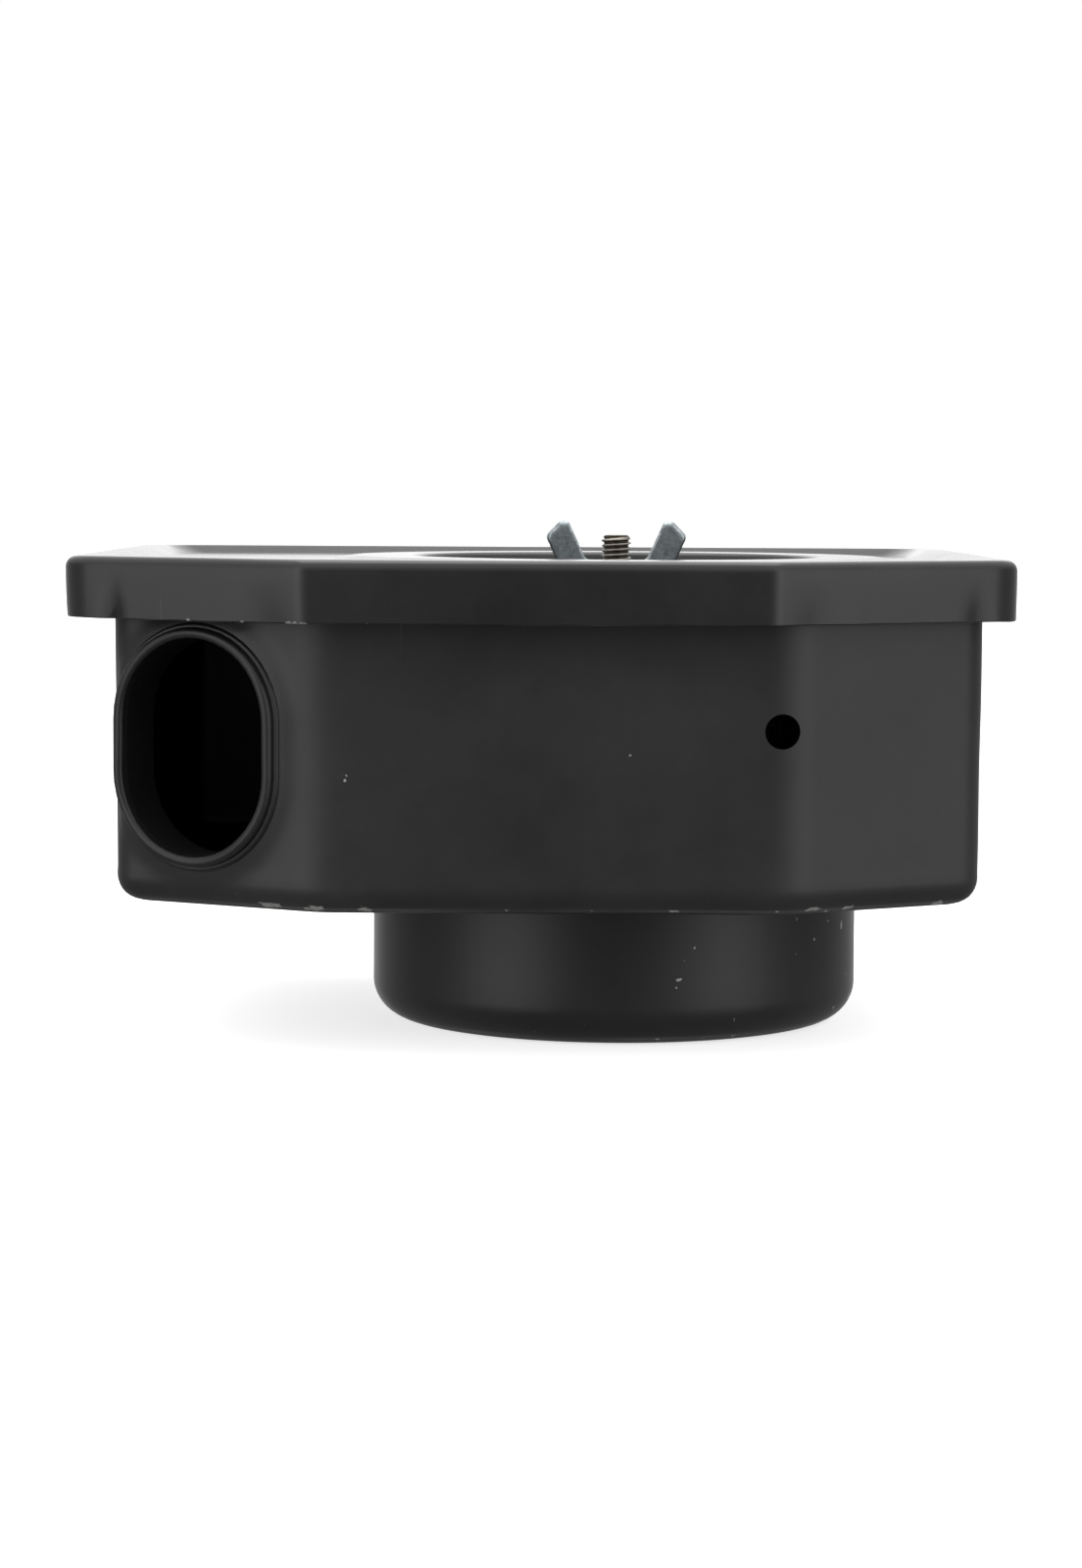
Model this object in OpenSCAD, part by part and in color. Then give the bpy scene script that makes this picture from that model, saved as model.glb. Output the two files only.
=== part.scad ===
// Air filter housing for a small engine. Millimetres, +Z up.
// Origin: centre of the outlet in the flat bottom of the cup, on the stud's axis.
// The front, with the chamfered corners, faces -Y. The inlet is in the left front chamfer.

/* [Outlet] */
// Diameter of the outlet bore
outlet_d = 38; // [28:1:50]
// Distance from the outlet's edge to the bolt centres
bolt_land = 9; // [7:0.5:14]
// Diameter of the four bolt holes
bolt_hole_d = 6.6; // [5:0.1:7]
// Distance from the bolt centres to the edge of the plate inside the cup
plate_land = 8; // [7:0.5:12]
// Thickness of that plate
plate_t = 3; // [2:0.5:5]

/* [Cup] */
// Height of the cup, from its base to the pan floor
cup_h = 27.6; // [24:0.2:40]
// Sheet thickness of the cup
cup_t = 1.2; // [0.8:0.1:2]
// Outer radius of the cup's bottom edge
cup_bend = 7.5; // [4:0.5:10]
// Flat floor left between the plate and the cup's bottom edge
cup_land = 4.5; // [1:0.5:12]
// Width of the cup's rim that lies on the pan floor
cup_rim = 6; // [4:0.5:9]

/* [Filter element] */
// How far the end caps reach past the cup's wall
cap_over = 4; // [3:0.5:8]
// Depth of the paper pleats, over both screens
pleat_depth = 20; // [16:0.5:26]
// Thickness of the foam sleeve
foam_t = 6.5; // [3:0.5:9]
// Number of paper pleats
pleats = 48; // [24:2:60]
// Thickness of the rubber rings at each end
ring_seal_t = 2; // [1:0.5:4]

/* [Pan] */
// Distance from the foam to the outside of the right wall
room_right = 8.8; // [4:0.2:20]
// Distance from the foam to the outside of the left wall, where the air comes in
room_left = 35.6; // [28:0.2:60]
// Distance from the foam to the outside of the front and back walls
room_front = 13.8; // [8:0.2:24]
// Height of the pan, floor to flange
pan_h = 61.4; // [58:0.2:90]
// Sheet thickness of the pan
pan_t = 1.2; // [0.8:0.1:2]
// Angle between the front facet and the left chamfer
chamfer_angle = 29; // [20:0.5:40]
// Width of the right front chamfer, measured across the front
chamfer_right = 36.7; // [20:0.1:46]
// Radius of the bend between the floor and the walls
floor_bend = 5; // [2:0.5:8]
// Radius of the upright corners beside the chamfers and at the back
pan_corner = 7; // [4:0.5:12]
// Radius of the wide soft bends at each end of the front facet
pan_bend = 18; // [6:1:20]
// How far the walls lean in towards the floor
pan_draft = 0.4; // [0:0.1:2]

/* [Front hole] */
// Diameter of the bracket hole in the front facet
hole_d = 6.4; // [4:0.1:9]
// Distance from the hole to the facet's right end
hole_in = 2; // [1:0.1:40]
// Height of the hole above the pan floor
hole_up = 33.7; // [10:0.1:45]

/* [Inlet] */
// Outer width of the oval inlet duct
inlet_w = 34.6; // [24:0.2:42]
// Outer height of the oval inlet duct
inlet_h = 44; // [42:0.1:48]
// Wall of the inlet duct
inlet_t = 2; // [1:0.1:3]
// How far the duct stands out of the chamfer
inlet_out = 3; // [1.5:0.1:8]
// How far the duct reaches into the pan, from the chamfer's face
inlet_in = 8; // [4:0.5:12]
// Flat chamfer left between the front bend and the duct
inlet_front_land = 7.9; // [6.5:0.1:20]
// Flat chamfer left between the duct and the side wall
inlet_side_land = 1.8; // [1:0.1:20]
// Height of the duct's lowest point above the pan floor
inlet_low = 7.6; // [6:0.1:14]
// Width and height of the seam ring round the duct
collar_size = 0.9; // [0.5:0.1:1.5]

/* [Lid] */
// How far the lid stands out past the pan on the left
lid_left = 9; // [7:0.1:12]
// How far the lid stands out past the pan on the right
lid_right = 6.2; // [5:0.1:12]
// How far the lid stands out past the pan at the front and back
lid_front = 7.5; // [6:0.1:12]
// How far the lid's side corners stand in front of the pan's
lid_side_shift = 2; // [0:0.1:4]
// How far the lid's left front corner stands right of the pan's
lid_bend_left = -2; // [-4:0.1:4]
// How far the lid's right front corner stands left of the pan's
lid_bend_right = 3.8; // [0:0.1:8]
// Sheet thickness of the lid
lid_t = 1; // [0.8:0.1:1.5]
// Depth of the skirt
skirt_h = 11.6; // [8:0.1:16]
// Outer bend radius at the top of the skirt
skirt_bend = 2.1; // [1.5:0.1:4]
// Radius of the lid's upright corners at the sides and the back
lid_corner = 10; // [6:0.5:16]
// Radius of the lid's upright folds at each end of its front
lid_fold = 6; // [2:0.5:12]
// Width of the flat rim, from the skirt to the sunk field
rim_w = 7; // [6:0.2:8]
// Height of the sunk field's underside above the pan's rim
field_lift = 0.3; // [0.2:0.1:1.5]
// Width of the slope down to the field
field_slope = 4; // [2:0.5:5]
// Width of the sunk field where it is narrowest, beside the raised ring
field_w = 3.2; // [2:0.1:8]
// Width of the slope up to the raised ring
ring_slope = 7.5; // [4:0.5:10]
// Width of the raised ring's flat top
ring_land = 12; // [4:0.5:14]
// How far the raised ring stays below the rim
ring_below = 0.5; // [0:0.1:1.5]
// Depth of the central well below the rim
well_depth = 9.3; // [6:0.1:12]
// Thickness of the lid gasket
gasket_t = 2; // [1:0.1:4]

/* [Stud and wing nut] */
// Diameter of the plain stud that the nut runs on
stud_d = 5.9; // [4.9:0.1:7.9]
// How far the stud's end stands above the lid's rim
stud_above = 3.6; // [2:0.1:6]
// How far each wing reaches past the hub
wing_reach = 8.5; // [6:0.5:12]
// Height of the wing nut
wing_h = 14; // [12:0.5:17]
// Height of the wing nut's hub
hub_h = 6.1; // [5:0.1:8]
// Wall of the wing nut's hub at its foot, outside the stud
hub_wall = 2.5; // [1.8:0.1:4]
// Thickness of the wings
wing_t = 2.8; // [2:0.1:4]
// Thickness of the steel washer under the wing nut
washer_t = 0.8; // [0.5:0.1:1.6]
// Thickness of the rubber washer under the steel one
seal_t = 0.8; // [0.5:0.1:2]
// How far both washers reach past the hub
washer_over = 2.5; // [1.5:0.5:5]

/* [Hidden] */

$fn = 64;
black = [0.17, 0.17, 0.175];
zinc = [0.66, 0.68, 0.7];
steel = [0.5, 0.49, 0.47];
rubber = [0.1, 0.1, 0.1];

// Clearances and small sizes
fit_gap = 0.05;        // running gap round the stud
slip_gap = 0.3;        // gap round parts that are only dropped in
seat_gap = 0.1;        // gap between the lid and what it presses on
weld_gap = 0.05;       // gap left where one piece is welded or screwed into another
over = 1;              // how far a cut runs past the faces it opens
corner_steps = 5;      // straight steps in each rounded upright corner
bend_steps = 4;        // straight steps in each rolled bend

// Outlet and cup, from the outlet outwards
bolt_circle = outlet_d + 2 * bolt_land;
plate_d = bolt_circle + 2 * plate_land;
cup_d = plate_d + 2 * cup_land + 2 * cup_bend;

// Filter element radii
cap_d = cup_d + 2 * cap_over;
cap_bore = cap_d - 2 * pleat_depth;
cap_t = 1;
cap_lip = 5;
core_r = cap_bore / 2 + cap_t + 0.2;
core_t = 0.8;
screen_r = cap_d / 2 - cap_t - 0.2;
screen_t = 0.8;
foam_r = cap_d / 2 + 0.2;

// Heights, from the base upwards
floor_z = cup_h;
flange_z = floor_z + pan_h;
lid_z = flange_z + gasket_t + lid_t;
well_z = lid_z - well_depth;
nut_z = well_z + seal_t + washer_t;
stud_top = lid_z + stud_above;
rim_top_z = floor_z + pan_t + cup_t;
bottom_cap_z = rim_top_z + ring_seal_t;
top_cap_z = well_z - lid_t - seat_gap - ring_seal_t;

// The left chamfer is as long as the duct needs
chamfer_len = inlet_front_land + inlet_w + inlet_side_land;
chamfer_left = chamfer_len * cos(chamfer_angle);
chamfer_depth = chamfer_len * sin(chamfer_angle);

// Upright outlines: corners anticlockwise from the front left, seen from above
pan_x0 = -(foam_r + foam_t + room_left);
pan_x1 = foam_r + foam_t + room_right;
pan_y = foam_r + foam_t + room_front;
pan_outline = [
    [pan_x0 + chamfer_left, -pan_y], [pan_x1 - chamfer_right, -pan_y],
    [pan_x1, -pan_y + chamfer_depth], [pan_x1, pan_y],
    [pan_x0, pan_y], [pan_x0, -pan_y + chamfer_depth]
];
pan_radii = [pan_bend, pan_bend, pan_corner, pan_corner, pan_corner, pan_corner];
lid_outline = [
    pan_outline[0] + [lid_bend_left, -lid_front], pan_outline[1] + [-lid_bend_right, -lid_front],
    pan_outline[2] + [lid_right, -lid_side_shift], pan_outline[3] + [lid_right, lid_front],
    pan_outline[4] + [-lid_left, lid_front], pan_outline[5] + [-lid_left, -lid_side_shift]
];
lid_radii = [lid_fold, lid_fold, lid_corner, lid_corner, lid_corner, lid_corner];
lip_inset = lid_t + slip_gap + 0.3;      // the pan flange's edge, inside the skirt
gasket_inset = skirt_bend + slip_gap;    // the gasket's edge, clear of the skirt's bend

// The duct's place on the chamfer
chamfer_run = [-cos(chamfer_angle), sin(chamfer_angle)];
inlet_foot = pan_outline[0] + chamfer_run * (inlet_front_land + inlet_w / 2);
inlet_z = floor_z + inlet_low + inlet_h / 2;
hole_x = pan_outline[1][0] - hole_in;
hole_recess = pan_bend * (1 - cos(chamfer_angle));    // how far the wall falls back round the bend

// The lid's round middle, from the sunk field inwards
ring_foot_r = pan_x1 + lid_right - rim_w - field_slope - field_w;
ring_top_r = ring_foot_r - ring_slope;
well_r = ring_top_r - ring_land;

// Wing nut and washers
hub_d = stud_d + 2 * fit_gap + 2 * hub_wall;
wing_span = hub_d + 2 * wing_reach;
washer_d = hub_d + 2 * washer_over;

// Strap that carries the stud
bridge_t = 2;
bridge_w = 18;
bridge_z = floor_z - 10;
bridge_leg = 9;
jam_nut_t = 5;
hex_flats = 10;

// One corner of an outline moved inwards by d, by the half-angle rule for two unit normals
function turn_in(a, b) = [a[1] - b[1], b[0] - a[0]] / norm(b - a);
function inset_corner(p, i, d) =
    let (n = len(p), v = p[i], a = p[(i + n - 1) % n], b = p[(i + 1) % n])
    let (na = turn_in(a, v), nb = turn_in(v, b))
    v + d * (na + nb) / (1 + na * nb);

// Points of an outline moved in by d, with arcs at its corners, at height z
function ring_points(p, radii, d, z) = [
    for (i = [0:len(p) - 1])
        let (n = len(p), v = inset_corner(p, i, d))
        let (a = inset_corner(p, (i + n - 1) % n, d), b = inset_corner(p, (i + 1) % n, d))
        let (u = (a - v) / norm(a - v), w = (b - v) / norm(b - v))
        let (half = acos(u * w) / 2, r = max(radii[i] - d, 1))
        let (c = v + (u + w) / norm(u + w) * r / sin(half))
        let (na = -turn_in(a, v), nb = -turn_in(v, b))
        let (from = atan2(na[1], na[0]), span = 180 - 2 * half)
        for (k = [0:corner_steps])
            let (t = from + span * k / corner_steps)
            [c[0] + r * cos(t), c[1] + r * sin(t), z]
];

// A shell whose wall follows a list of [inset, height] steps, closed flat at both ends
module shell(p, radii, steps) {
    m = len(p) * (corner_steps + 1);
    last = len(steps) - 1;
    points = [for (s = steps) each ring_points(p, radii, s[0], s[1])];
    sides = [
        for (j = [0:last - 1], i = [0:m - 1])
            let (a = j * m + i, b = j * m + (i + 1) % m)
            each [[a, a + m, b], [b, a + m, b + m]]
    ];
    first_cap = [for (i = [0:m - 1]) i];
    last_cap = [for (i = [0:m - 1]) last * m + m - 1 - i];
    polyhedron(points, concat(sides, [first_cap, last_cap]), convexity = 8);
}

// Quarter bend as [inset, height] steps: from the flat at the bottom up into the wall
function floor_roll(r, inset, z) = [
    for (k = [0:bend_steps])
        let (t = 90 * k / bend_steps)
        [inset + r - r * sin(t), z + r - r * cos(t)]
];

// Quarter bend from the flat top down into the skirt
function top_roll(r, inset, z) = [
    for (k = [0:bend_steps])
        let (t = 90 * k / bend_steps)
        [inset + r - r * sin(t), z - r + r * cos(t)]
];

// Oval bar along +Y, from y0 to y1, with its middle on the Y axis
module oval(w, h, y0, y1) {
    translate([0, y1, 0])
        rotate([90, 0, 0])
            linear_extrude(y1 - y0) {
                translate([0, (h - w) / 2]) circle(d = w);
                translate([0, (w - h) / 2]) circle(d = w);
                square([w, h - w], center = true);
            }
}

// Puts its children on the left chamfer's face: -Y points out of the pan
module on_chamfer() {
    translate([inlet_foot[0], inlet_foot[1], inlet_z])
        rotate([0, 0, -chamfer_angle])
            children();
}

// Flat ring between two radii
module ring(r_out, r_in, z, t) {
    translate([0, 0, z])
        difference() {
            cylinder(r = r_out, h = t);
            translate([0, 0, -over]) cylinder(r = r_in, h = t + 2 * over);
        }
}

// Tube with rows of round holes, each drilled through its wall
module perforated_tube(r_out, t, z, h, columns, rows, hole_r) {
    difference() {
        ring(r_out, r_out - t, z, h);
        for (row = [0:rows - 1], col = [0:columns - 1])
            rotate([0, 0, 360 * (col + 0.5 * (row % 2)) / columns])
                translate([r_out - t / 2, 0, z + h * (row + 0.5) / rows])
                    rotate([0, 90, 0])
                        cylinder(r = hole_r, h = t + 2 * over, center = true, $fn = 24);
    }
}

// End cap of the element: a flat ring with both edges turned towards the paper
module end_cap(z, lip_up) {
    lip_z = lip_up ? z : z + cap_t - cap_lip;
    ring(cap_d / 2, cap_bore / 2, z, cap_t);
    ring(cap_d / 2, cap_d / 2 - cap_t, lip_z, cap_lip);
    ring(cap_bore / 2 + cap_t, cap_bore / 2, lip_z, cap_lip);
}

module hex_nut(bore_r, h) {
    difference() {
        cylinder(d = hex_flats / cos(30), h = h, $fn = 6);
        translate([0, 0, -over]) cylinder(r = bore_r, h = h + 2 * over);
    }
}

module housing_pan() color(black) {
    wall_z = floor_z + floor_bend;
    inner_bend = floor_bend - pan_t;
    flange_in = (lid_left + lid_right) / 2 - lip_inset;
    difference() {
        union() {
            shell(pan_outline, pan_radii, concat(
                floor_roll(floor_bend, pan_draft, floor_z),
                [[0, flange_z], [pan_t, flange_z]],
                [for (k = [bend_steps:-1:0])
                    floor_roll(inner_bend, pan_draft + pan_t, floor_z + pan_t)[k]]
            ));
            difference() {
                shell(lid_outline, lid_radii, [
                    [lip_inset, flange_z - pan_t], [lip_inset, flange_z]
                ]);
                shell(pan_outline, pan_radii, [
                    [pan_t / 2, flange_z - pan_t - over], [pan_t / 2, flange_z + over]
                ]);
            }
        }
        translate([0, 0, floor_z - over])
            cylinder(r = cup_d / 2 + weld_gap, h = pan_t + 2 * over, $fn = 128);
        translate([hole_x, -pan_y - over, floor_z + hole_up])
            rotate([-90, 0, 0])
                cylinder(d = hole_d, h = pan_t + pan_draft + hole_recess + 2 * over);
        on_chamfer()
            oval(inlet_w + 2 * weld_gap, inlet_h + 2 * weld_gap, -inlet_out, inlet_in);
    }
}

module lower_cup() color(black) {
    r = cup_d / 2;
    bend_in = cup_bend - cup_t;
    difference() {
        union() {
            rotate_extrude($fn = 128) {
                square([r - cup_bend, cup_t]);
                translate([r - cup_bend, cup_bend])
                    intersection() {
                        difference() {
                            circle(r = cup_bend);
                            circle(r = bend_in);
                        }
                        translate([0, -cup_bend]) square(cup_bend);
                    }
                translate([r - cup_t, cup_bend]) square([cup_t, rim_top_z - cup_bend]);
                translate([r - cup_t, floor_z + pan_t]) square([cup_t + cup_rim, cup_t]);
            }
        }
        translate([0, 0, -over]) cylinder(d = outlet_d, h = cup_t + 2 * over);
        bolt_holes(-over, cup_t + 2 * over);
    }
}

// The four bolt holes of the outlet, on its pitch circle at 45 degrees to the axes
module bolt_holes(z, h) {
    for (a = [45:90:315])
        rotate([0, 0, a])
            translate([bolt_circle / 2, 0, z])
                cylinder(d = bolt_hole_d, h = h);
}

module outlet_plate() color(steel) {
    difference() {
        ring(plate_d / 2, outlet_d / 2, cup_t, plate_t);
        bolt_holes(cup_t - over, plate_t + 2 * over);
    }
}

module outlet_weld_nuts() color(zinc) {
    for (a = [45:90:315])
        rotate([0, 0, a])
            translate([bolt_circle / 2, 0, cup_t + plate_t])
                hex_nut(2.5, jam_nut_t);
}

module stud_bridge() color(steel) {
    reach = cup_d / 2 - cup_t - weld_gap;
    difference() {
        intersection() {
            cylinder(r = reach, h = floor_z, $fn = 128);
            union() {
                translate([-cup_d / 2, -bridge_w / 2, bridge_z])
                    cube([cup_d, bridge_w, bridge_t]);
                for (side = [-1, 1])
                    translate([side * (reach - bridge_t) - bridge_t / 2 - 0.5,
                               -bridge_w / 2, bridge_z - bridge_leg])
                        cube([bridge_t + 1, bridge_w, bridge_leg + bridge_t]);
            }
        }
        translate([0, 0, bridge_z - over])
            cylinder(r = stud_d / 2 + weld_gap, h = bridge_t + 2 * over);
    }
}

module center_stud() color(steel) {
    tail = bridge_z - jam_nut_t - 2;
    translate([0, 0, tail]) cylinder(d = stud_d, h = stud_top - tail);
}

module stud_nut_upper() color(zinc) {
    translate([0, 0, bridge_z + bridge_t]) hex_nut(stud_d / 2 + weld_gap, jam_nut_t);
}

module stud_nut_lower() color(zinc) {
    translate([0, 0, bridge_z - jam_nut_t]) hex_nut(stud_d / 2 + weld_gap, jam_nut_t);
}

module inlet_duct() color(black) {
    bore_w = inlet_w - 2 * inlet_t;
    bore_h = inlet_h - 2 * inlet_t;
    on_chamfer()
        difference() {
            oval(inlet_w, inlet_h, -inlet_out, inlet_in);
            oval(bore_w, bore_h, -inlet_out - over, inlet_in + over);
        }
}

module inlet_collar() color(black) {
    on_chamfer()
        difference() {
            oval(inlet_w + 2 * collar_size, inlet_h + 2 * collar_size, -collar_size, 0);
            oval(inlet_w, inlet_h, -collar_size - over, over);
        }
}

module element_bottom_seal() color(rubber) {
    ring(cap_d / 2 - 0.5, cup_d / 2 - cup_t + 0.4, rim_top_z, ring_seal_t);
}

module element_bottom_cap() color(zinc) {
    spigot_r = cup_d / 2 - cup_t - slip_gap;
    end_cap(bottom_cap_z, true);
    ring(spigot_r, spigot_r - cap_t, bottom_cap_z - ring_seal_t - 3, ring_seal_t + 3 + cap_t / 2);
}

module inner_core() color(steel) {
    h = top_cap_z - bottom_cap_z - 2 * cap_t;
    perforated_tube(core_r + core_t, core_t, bottom_cap_z + cap_t, h, 14, 4, 3.5);
}

module outer_screen() color(steel) {
    h = top_cap_z - bottom_cap_z - 2 * cap_t;
    perforated_tube(screen_r, screen_t, bottom_cap_z + cap_t, h, 18, 4, 4);
}

// A zigzag ring of constant wall: each fold runs from the core to the screen and back
module pleated_paper() color([0.85, 0.8, 0.66]) {
    r0 = core_r + core_t + 0.2;
    r1 = screen_r - screen_t - 0.2;
    fold = 0.9;
    step = 360 / pleats;
    half_fold = fold / 2 / r0 * 180 / PI;
    outer_loop = [
        for (i = [0:pleats - 1])
            each [
                [r1 * cos(i * step), r1 * sin(i * step)],
                [(r0 + fold) * cos((i + 0.5) * step), (r0 + fold) * sin((i + 0.5) * step)]
            ]
    ];
    inner_loop = [
        for (i = [0:pleats - 1])
            each [
                [(r1 - 4 * fold) * cos(i * step), (r1 - 4 * fold) * sin(i * step)],
                [r0 * cos((i + 0.5) * step), r0 * sin((i + 0.5) * step)]
            ]
    ];
    translate([0, 0, bottom_cap_z + cap_t])
        linear_extrude(top_cap_z - bottom_cap_z - 2 * cap_t)
            difference() {
                polygon(outer_loop);
                polygon(inner_loop);
            }
}

module foam_sleeve() color([0.2, 0.2, 0.22]) {
    gap = 0.5;
    ring(foam_r + foam_t, foam_r, bottom_cap_z + gap, top_cap_z - bottom_cap_z - 2 * gap);
}

module element_top_cap() color(zinc) {
    end_cap(top_cap_z - cap_t, false);
}

module element_top_seal() color(rubber) {
    ring(well_r - 2.5, cap_bore / 2, top_cap_z, ring_seal_t);
}

// The lid's round middle as one turned profile, from the sunk field in to the stud hole
module lid() color(black) {
    field_z = flange_z + field_lift + lid_t;
    ring_z = lid_z - ring_below;
    inner_bend = skirt_bend - lid_t;
    wall_run = 3;
    joint_r = ring_foot_r + 1;
    field_in = rim_w + field_slope;
    top_line = [
        [joint_r + 0.3, field_z], [ring_foot_r, field_z], [ring_top_r, ring_z],
        [well_r, ring_z], [well_r - wall_run, well_z], [stud_d / 2 + slip_gap, well_z]
    ];
    middle = concat(top_line, [for (k = [len(top_line) - 1:-1:0]) top_line[k] - [0, lid_t]]);
    difference() {
        shell(lid_outline, lid_radii, concat(
            [[field_in, field_z - lid_t], [rim_w + 0.3, lid_z - lid_t]],
            top_roll(inner_bend, lid_t, lid_z - lid_t),
            [[lid_t, lid_z - skirt_h], [0, lid_z - skirt_h]],
            [for (k = [bend_steps:-1:0]) top_roll(skirt_bend, 0, lid_z)[k]],
            [[rim_w, lid_z], [field_in, field_z]]
        ));
        translate([0, 0, well_z - over])
            cylinder(r = joint_r, h = well_depth + 2 * over, $fn = 128);
    }
    rotate_extrude($fn = 128) polygon(middle);
}

module lid_gasket() color(rubber) {
    difference() {
        shell(lid_outline, lid_radii, [
            [gasket_inset, flange_z], [gasket_inset, flange_z + gasket_t]
        ]);
        shell(lid_outline, lid_radii, [
            [rim_w - 0.8, flange_z - over], [rim_w - 0.8, flange_z + gasket_t + over]
        ]);
    }
}

module lid_seal_washer() color(rubber) {
    ring(washer_d / 2, stud_d / 2 + slip_gap, well_z, seal_t);
}

module nut_washer() color(zinc) {
    ring(washer_d / 2, stud_d / 2 + slip_gap, well_z + seal_t, washer_t);
}

// One wing's upright outline, leaning outwards with a round head
module wing_outline() {
    head_r = 3.2;
    hull() {
        translate([wing_span / 2 - head_r, wing_h - head_r]) circle(r = head_r, $fn = 32);
        translate([hub_d / 2 - 2.6, 1]) square([3.4, hub_h - 2]);
    }
}

module wing_nut() color(zinc) {
    translate([0, 0, nut_z])
        difference() {
            union() {
                cylinder(d = hub_d, h = hub_h);
                for (side = [0, 180])
                    rotate([90, 0, side])
                        linear_extrude(wing_t, center = true) wing_outline();
            }
            translate([0, 0, -over]) cylinder(d = stud_d + 2 * fit_gap, h = wing_h + 2 * over);
        }
}

housing_pan();
lower_cup();
outlet_plate();
outlet_weld_nuts();
stud_bridge();
center_stud();
stud_nut_upper();
stud_nut_lower();
inlet_duct();
inlet_collar();
element_bottom_seal();
element_bottom_cap();
inner_core();
pleated_paper();
outer_screen();
foam_sleeve();
element_top_cap();
element_top_seal();
lid();
lid_gasket();
lid_seal_washer();
nut_washer();
wing_nut();
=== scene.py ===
import math

import bpy
import numpy as np
from mathutils import Matrix, Vector


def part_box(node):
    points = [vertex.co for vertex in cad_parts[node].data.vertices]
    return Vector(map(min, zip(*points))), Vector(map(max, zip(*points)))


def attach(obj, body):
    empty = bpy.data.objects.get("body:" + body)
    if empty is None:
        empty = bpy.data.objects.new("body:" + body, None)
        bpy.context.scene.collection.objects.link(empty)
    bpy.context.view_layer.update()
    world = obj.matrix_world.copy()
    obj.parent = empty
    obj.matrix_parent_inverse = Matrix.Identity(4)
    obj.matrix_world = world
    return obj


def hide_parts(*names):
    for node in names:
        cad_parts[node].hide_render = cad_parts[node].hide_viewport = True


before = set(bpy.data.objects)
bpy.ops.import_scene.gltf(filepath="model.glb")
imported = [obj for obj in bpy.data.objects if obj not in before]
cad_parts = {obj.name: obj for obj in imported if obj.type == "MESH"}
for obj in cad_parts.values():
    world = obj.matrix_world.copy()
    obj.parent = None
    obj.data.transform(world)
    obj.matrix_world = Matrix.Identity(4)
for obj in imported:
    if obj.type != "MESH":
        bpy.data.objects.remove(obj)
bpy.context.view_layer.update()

# ---------------------------------------------------------------- measures, in metres
MM = 0.001
SHEET = 1.2 * MM            # pan and cup
LID_SHEET = 1.0 * MM
THREAD_PITCH = 1.0 * MM
TURN = 2 * math.pi

lid_low, lid_high = (np.array(c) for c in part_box("lid"))
pan_low, pan_high = (np.array(c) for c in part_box("housing_pan"))

FLOOR_Z = pan_low[2]
FLANGE_Z = pan_high[2]
LID_Z = lid_high[2]
SKIRT_Z = lid_low[2]
CUP_R = 48 * MM
WELL_R = 40 * MM
FIELD_Z = LID_Z - 1.7 * MM
RING_Z = LID_Z - 0.5 * MM
WELL_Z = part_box("lid_seal_washer")[0].z
NUT_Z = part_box("wing_nut")[0].z
STUD_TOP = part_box("center_stud")[1].z
STUD_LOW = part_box("center_stud")[0].z

CLEAN_BLACK, HANDLED_BLACK = (0.009, 0.009, 0.0095), (0.0235, 0.0235, 0.024)
CHAMFER = math.radians(29)
CHAMFER_LEN, DUCT_ALONG = 44.3 * MM, 25.2 * MM
chamfer_x, chamfer_y = CHAMFER_LEN * math.cos(CHAMFER), CHAMFER_LEN * math.sin(CHAMFER)

# Outlines seen from above, anticlockwise from the left end of the front facet.
wall_left, wall_right = lid_low[0] + 9 * MM, lid_high[0] - 6.2 * MM
wall_front, wall_back = lid_low[1] + 7.5 * MM, lid_high[1] - 7.5 * MM
PAN_CORNERS = np.array([
    [wall_left + chamfer_x, wall_front], [wall_right - 36.7 * MM, wall_front],
    [wall_right, wall_front + chamfer_y], [wall_right, wall_back],
    [wall_left, wall_back], [wall_left, wall_front + chamfer_y],
])
PAN_RADII = np.array([18, 18, 7, 7, 7, 7]) * MM
LID_CORNERS = np.array([
    [PAN_CORNERS[0][0] - 2 * MM, lid_low[1]], [PAN_CORNERS[1][0] - 3.8 * MM, lid_low[1]],
    [lid_high[0], PAN_CORNERS[2][1] - 2 * MM], [lid_high[0], lid_high[1]],
    [lid_low[0], lid_high[1]], [lid_low[0], PAN_CORNERS[2][1] - 2 * MM],
])
LID_RADII = np.array([6, 6, 10, 10, 10, 10]) * MM
ARC_POINTS = 12
RUN_STEP = 1.6 * MM


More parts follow.
